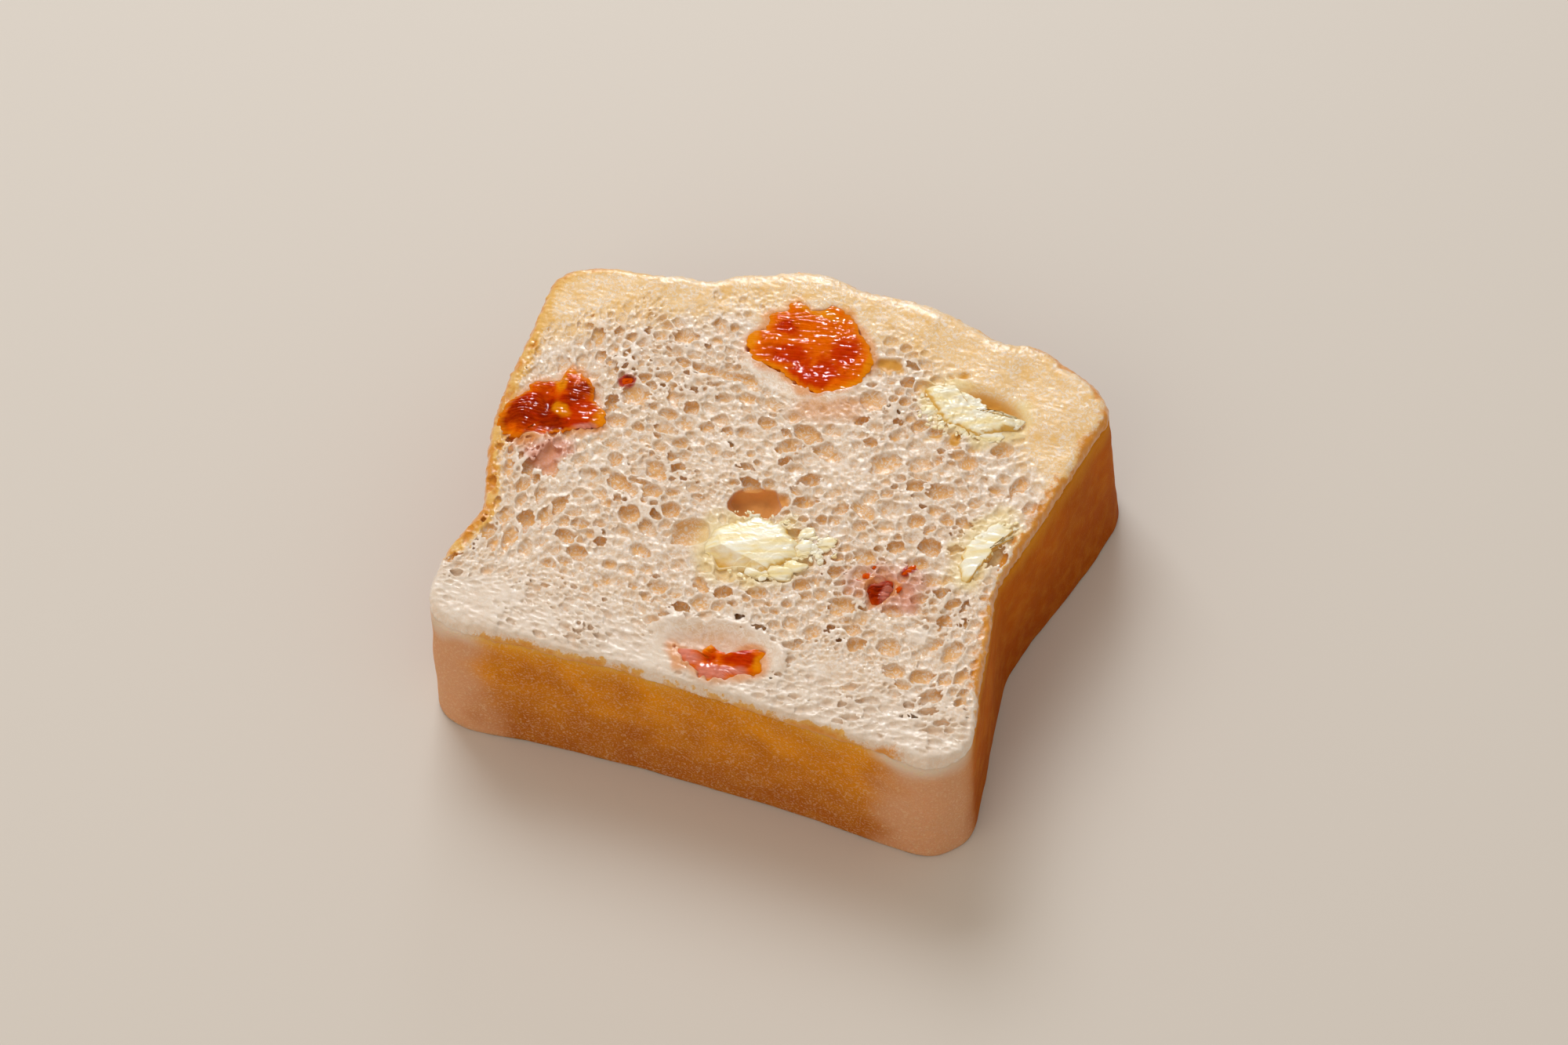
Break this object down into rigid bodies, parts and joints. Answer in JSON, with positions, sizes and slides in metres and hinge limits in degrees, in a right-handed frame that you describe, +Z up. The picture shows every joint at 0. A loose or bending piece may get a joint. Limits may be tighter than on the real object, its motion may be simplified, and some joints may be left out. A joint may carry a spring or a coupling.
{
  "type": "slice of sweet bread",
  "caption": "Thick slice of pale tin-loaf bread with pieces of dried apricot and white chocolate baked in, lying cut face up with golden crust round its side.",
  "frame": {"origin": "on the ground, under the middle of the slice's bounding box, as it lies cut face up", "axes": "+X along the loaf's base crust, +Y from the base crust towards the domed top crust, +Z up, out of the cut face"},
  "size_m": [0.0858, 0.0765, 0.026],
  "materials": {
    "bread": "open moist crumb with a golden baked crust",
    "dried_apricot": "sticky, translucent, fibrous fruit",
    "white_chocolate": "waxy, broken with a satin sheen"
  },
  "bodies": {
    "root": {"bread_slice": "bread", "apricot_top": "dried_apricot", "apricot_left": "dried_apricot", "apricot_right": "dried_apricot", "apricot_bottom": "dried_apricot", "white_chocolate_centre": "white_chocolate", "white_chocolate_upper": "white_chocolate", "white_chocolate_side": "white_chocolate"}
  },
  "joints": []
}
